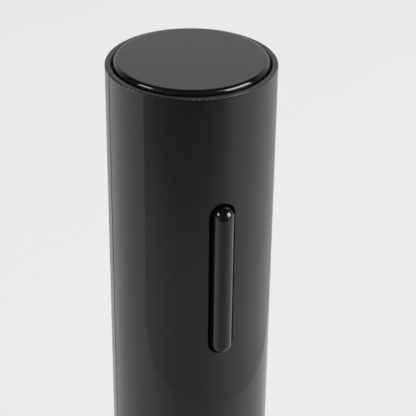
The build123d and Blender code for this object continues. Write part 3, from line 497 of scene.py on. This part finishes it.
# ---------------------------------------------------------------- gears in natural acetal
# The ring gear, six planets and the upper carrier are moulded in milky white acetal, greased,
# with a waxy skin that lets a little light in.
milk_light, milk_dark = (0.74, 0.73, 0.69), (0.66, 0.64, 0.58)
waxy = {"Subsurface_Weight": 0.15, "Subsurface_Scale": 2.0 * mm}
acetal, tree, shader = new_material("natural_acetal", IOR=1.48, **waxy)
feed(tree, shader["Base Color"], blend_colour(tree, noise(tree, scale=180.0), milk_light, milk_dark))
grained(tree, shader, Scale=1500.0, Depth=0.004 * mm, Roughness=0.34, Spread=0.20)
planets = [f"{stage}_planet_{letter}" for stage in ("upper", "lower") for letter in "abc"]
cover(acetal, "ring_gear", "upper_carrier", *planets)

# ---------------------------------------------------------------- metals turned, pressed and sintered
# Shafts and pins are ground bright, screws are zinc plated, the motor can is drawn and plated, and
# the carrier, bushes, magnets and core are pressed powder or stacked sheet with a mottled surface.
mark_pitch = 14000.0
rubbed_edge = 0.15 * mm


def make_mottle():
    """Uneven colour and roughness of pressed, plated or worn metal, from Light to Dark."""
    colours = {"Light": (0.5, 0.5, 0.5), "Dark": (0.3, 0.3, 0.3)}
    inputs = {**colours, "Scale": 900.0, "Roughness": 0.35, "Spread": 0.2}
    outputs = {"Color": "NodeSocketColor", "Roughness": "NodeSocketFloat"}
    tree, given, out = new_group("metal_mottle", inputs, outputs)
    patches = noise(tree, given["Scale"], detail=6.0)
    feed(tree, out["Color"], blend_colour(tree, patches, given["Light"], given["Dark"]))
    feed(tree, out["Roughness"], unevenly(tree, given, patches))
    return tree


def make_turning():
    """Rings left by a lathe or grinding wheel round the upright axis, as a bump."""
    inputs = {"Pitch": 12000.0, "Depth": 0.01 * mm}
    tree, given, out = new_group("turning_marks", inputs, {"Normal": "NodeSocketVector"})
    place = axis_parts(tree, own_place(tree))
    across, along = (maths(tree, "POWER", place[axis], 2.0) for axis in "XY")
    ring = tree.nodes.new("ShaderNodeCombineXYZ")
    feed(tree, ring.inputs["X"], maths(tree, "SQRT", maths(tree, "ADD", across, along)))
    feed(tree, ring.inputs["Y"], place["Z"])
    marks = tree.nodes.new("ShaderNodeTexNoise")
    feed(tree, marks.inputs["Vector"], ring.outputs["Vector"])
    feed(tree, marks.inputs["Scale"], given["Pitch"])
    feed(tree, out["Normal"], bump(tree, marks.outputs["Fac"], given["Depth"]))
    return tree


mottle = make_mottle()
turning = make_turning()


def metal(name, colours, nodes, rough, spread, scale, marks=0.0):
    """A metal finish: mottled from light to dark, with turning marks and edges rubbed to a third colour."""
    light, dark, edge = colours
    material, tree, shader = new_material(name, Metallic=1.0)
    body = place_group(tree, mottle, Light=light, Dark=dark, Scale=scale, Roughness=rough, Spread=spread)
    wear = place_group(tree, edge_wear, Width=rubbed_edge, Amount=1.0)["Mask"]
    feed(tree, shader["Base Color"], blend_colour(tree, wear, body["Color"], edge))
    feed(tree, shader["Roughness"], body["Roughness"])
    feed(tree, shader["Normal"], place_group(tree, turning, Pitch=mark_pitch, Depth=marks)["Normal"])
    cover(material, *nodes)


steel = ((0.66, 0.66, 0.67), (0.55, 0.55, 0.57), (0.75, 0.75, 0.76))
steel_pieces = ["output_spindle", "spindle_clip", "hub_pin", "thrust_washer", "lower_planet_pins"]
steel_pieces += ["upper_planet_pins", "motor_shaft", "pivot_pin"]
metal("ground_steel", steel, steel_pieces, rough=0.22, spread=0.12, scale=500.0, marks=0.002 * mm)

zinc = ((0.60, 0.61, 0.63), (0.46, 0.47, 0.50), (0.72, 0.72, 0.72))
screws = ["sleeve_screws", "motor_screws", "gearbox_screws", "shell_screws", "cap_screws"]
metal("zinc_plate", zinc, screws, rough=0.34, spread=0.20, scale=1400.0, marks=0.003 * mm)

drawn = ((0.64, 0.64, 0.65), (0.52, 0.52, 0.54), (0.74, 0.74, 0.74))
metal("drawn_can", drawn, ["motor_can"], rough=0.30, spread=0.18, scale=220.0, marks=0.004 * mm)

sinter = ((0.36, 0.36, 0.37), (0.20, 0.20, 0.21), (0.55, 0.55, 0.56))
sintered_pieces = ["lower_carrier", "motor_plate"]
metal("sintered_steel", sinter, sintered_pieces, rough=0.52, spread=0.25, scale=3200.0)

bronze = ((0.72, 0.50, 0.24), (0.50, 0.31, 0.13), (0.85, 0.63, 0.33))
bronze_pieces = ["output_bush", "motor_bush", "motor_pinion"]
metal("sintered_bronze", bronze, bronze_pieces, rough=0.42, spread=0.25, scale=2600.0, marks=0.002 * mm)

sheet = ((0.34, 0.34, 0.36), (0.22, 0.22, 0.24), (0.50, 0.50, 0.50))
metal("stacked_sheet", sheet, ["armature_core"], rough=0.45, spread=0.20, scale=1800.0, marks=0.010 * mm)

ferrite = ((0.09, 0.09, 0.095), (0.05, 0.05, 0.055), (0.16, 0.16, 0.16))
metal("ferrite", ferrite, ["motor_magnets", "motor_brushes"], rough=0.60, spread=0.25, scale=3000.0)

copper = ((0.78, 0.36, 0.16), (0.56, 0.20, 0.07), (0.90, 0.50, 0.28))
copper_pieces = ["armature_windings", "commutator"]
metal("enamelled_copper", copper, copper_pieces, rough=0.24, spread=0.18, scale=1500.0, marks=0.006 * mm)

tin = ((0.78, 0.77, 0.74), (0.62, 0.61, 0.58), (0.85, 0.84, 0.82))
strips = ["motor_terminals", "cell_tabs"]
metal("tinned_strip", tin, strips, rough=0.26, spread=0.20, scale=900.0, marks=0.001 * mm)

nickel = ((0.72, 0.71, 0.68), (0.60, 0.59, 0.56), (0.80, 0.79, 0.77))
metal("nickel_plate", nickel, ["usb_socket"], rough=0.20, spread=0.14, scale=700.0, marks=0.001 * mm)

# ---------------------------------------------------------------- circuit boards and their parts
# Both boards are glass epoxy under green solder mask, whose weave just shows. The chips, the two
# press switches and the socket's tongue are moulded in black epoxy.
mask_dark, mask_light, mask_over_copper = (0.010, 0.080, 0.030), (0.018, 0.120, 0.045), (0.03, 0.17, 0.07)
weave_scale, weave_distortion = 700.0, 1.0
track_run = (1.0, 1.0, 0.15)
track_edge = 0.56
board_mask, tree, shader = new_material("green_solder_mask", IOR=1.5, Coat_Weight=0.4, Coat_Roughness=0.12)
weave = tree.nodes.new("ShaderNodeTexWave")
weave.inputs["Scale"].default_value = weave_scale
weave.inputs["Distortion"].default_value = weave_distortion
feed(tree, weave.inputs["Vector"], own_place(tree))
woven = blend_colour(tree, weave.outputs["Fac"], mask_dark, mask_light)
routes = noise(tree, scale=420.0, detail=0.0, stretch=track_run)
tracks = maths(tree, "GREATER_THAN", routes, track_edge)
feed(tree, shader["Base Color"], blend_colour(tree, tracks, woven, mask_over_copper))
grained(tree, shader, Scale=2400.0, Depth=0.003 * mm, Roughness=0.36, Spread=0.15)
cover(board_mask, "control_board", "charge_board")

epoxy_dark, epoxy_light = (0.014, 0.014, 0.015), (0.024, 0.024, 0.025)
epoxy, tree, shader = new_material("chip_epoxy", IOR=1.5)
feed(tree, shader["Base Color"], blend_colour(tree, noise(tree, scale=1500.0), epoxy_dark, epoxy_light))
grained(tree, shader, Scale=6000.0, Depth=0.006 * mm, Roughness=0.50, Spread=0.15)
cover(epoxy, "board_chips", "eject_switch", "open_switch", "usb_tongue")

# ---------------------------------------------------------------- cell, charge light and motor leads
# The cell wears a blue shrink sleeve drawn tight with faint wrinkles. The light and its pipe are
# frosted acrylic, and the two leads from the board to the motor have red silicone insulation.
wrap_dark, wrap_light = (0.015, 0.090, 0.230), (0.022, 0.120, 0.290)
wrinkle_run = (1.0, 1.0, 0.15)
wrap, tree, shader = new_material("blue_shrink_sleeve", IOR=1.5)
feed(tree, shader["Base Color"], blend_colour(tree, noise(tree, scale=120.0), wrap_dark, wrap_light))
wrinkles = noise(tree, scale=260.0, stretch=wrinkle_run)
feed(tree, shader["Normal"], bump(tree, wrinkles, depth=0.03 * mm))
feed(tree, shader["Roughness"], place_group(tree, smears, Clean=0.16, Dull=0.30)["Roughness"])
cover(wrap, "battery_cell")

frost_light, frost_dark = (0.82, 0.82, 0.80), (0.72, 0.72, 0.70)
cloudy = {"Subsurface_Weight": 0.4, "Subsurface_Scale": 1.0 * mm}
frosted, tree, shader = new_material("frosted_acrylic", IOR=1.49, **cloudy)
feed(tree, shader["Base Color"], blend_colour(tree, noise(tree, scale=800.0), frost_light, frost_dark))
grained(tree, shader, Scale=7000.0, Depth=0.006 * mm, Roughness=0.42, Spread=0.15)
cover(frosted, "charge_light", "light_pipe")

lead_light, lead_dark = (0.42, 0.018, 0.015), (0.34, 0.012, 0.010)
silicone, tree, shader = new_material("red_silicone", IOR=1.41)
feed(tree, shader["Base Color"], blend_colour(tree, noise(tree, scale=400.0), lead_light, lead_dark))
grained(tree, shader, Scale=3000.0, Depth=0.006 * mm, Roughness=0.48, Spread=0.15)
cover(silicone, "motor_leads")
